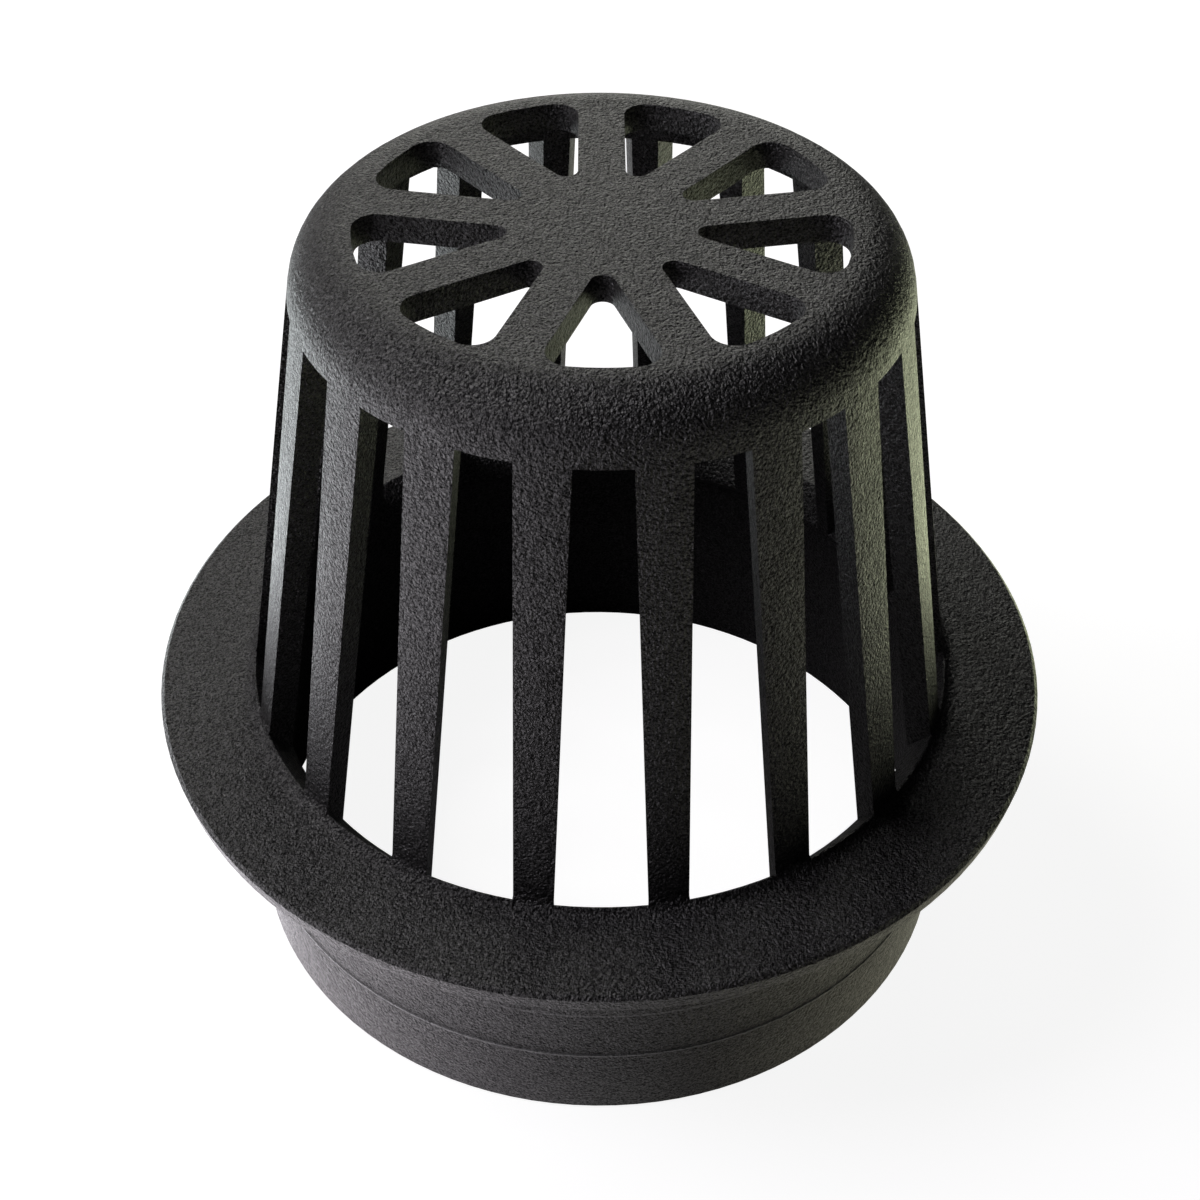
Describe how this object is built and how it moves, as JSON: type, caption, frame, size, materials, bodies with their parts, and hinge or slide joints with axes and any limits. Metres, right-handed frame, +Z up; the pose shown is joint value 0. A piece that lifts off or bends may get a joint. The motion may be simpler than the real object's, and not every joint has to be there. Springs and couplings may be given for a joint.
{
  "type": "atrium grate",
  "caption": "Round drain grate: tapered cage of upright bars under a flat pierced dome, with a flange and a short spigot that drops into a drain pipe.",
  "frame": {"origin": "on the axis, in the plane of the spigot's open foot", "axes": "+Z up along the axis, from the spigot to the dome; -Y passes through the middle of a side slot and of a dome opening"},
  "size_m": [0.121, 0.121, 0.1055],
  "materials": {
    "black_plastic": "matt black, with the fine even grain of a spark-eroded mould"
  },
  "bodies": {
    "root": {"atrium_grate": "black_plastic"}
  },
  "joints": []
}
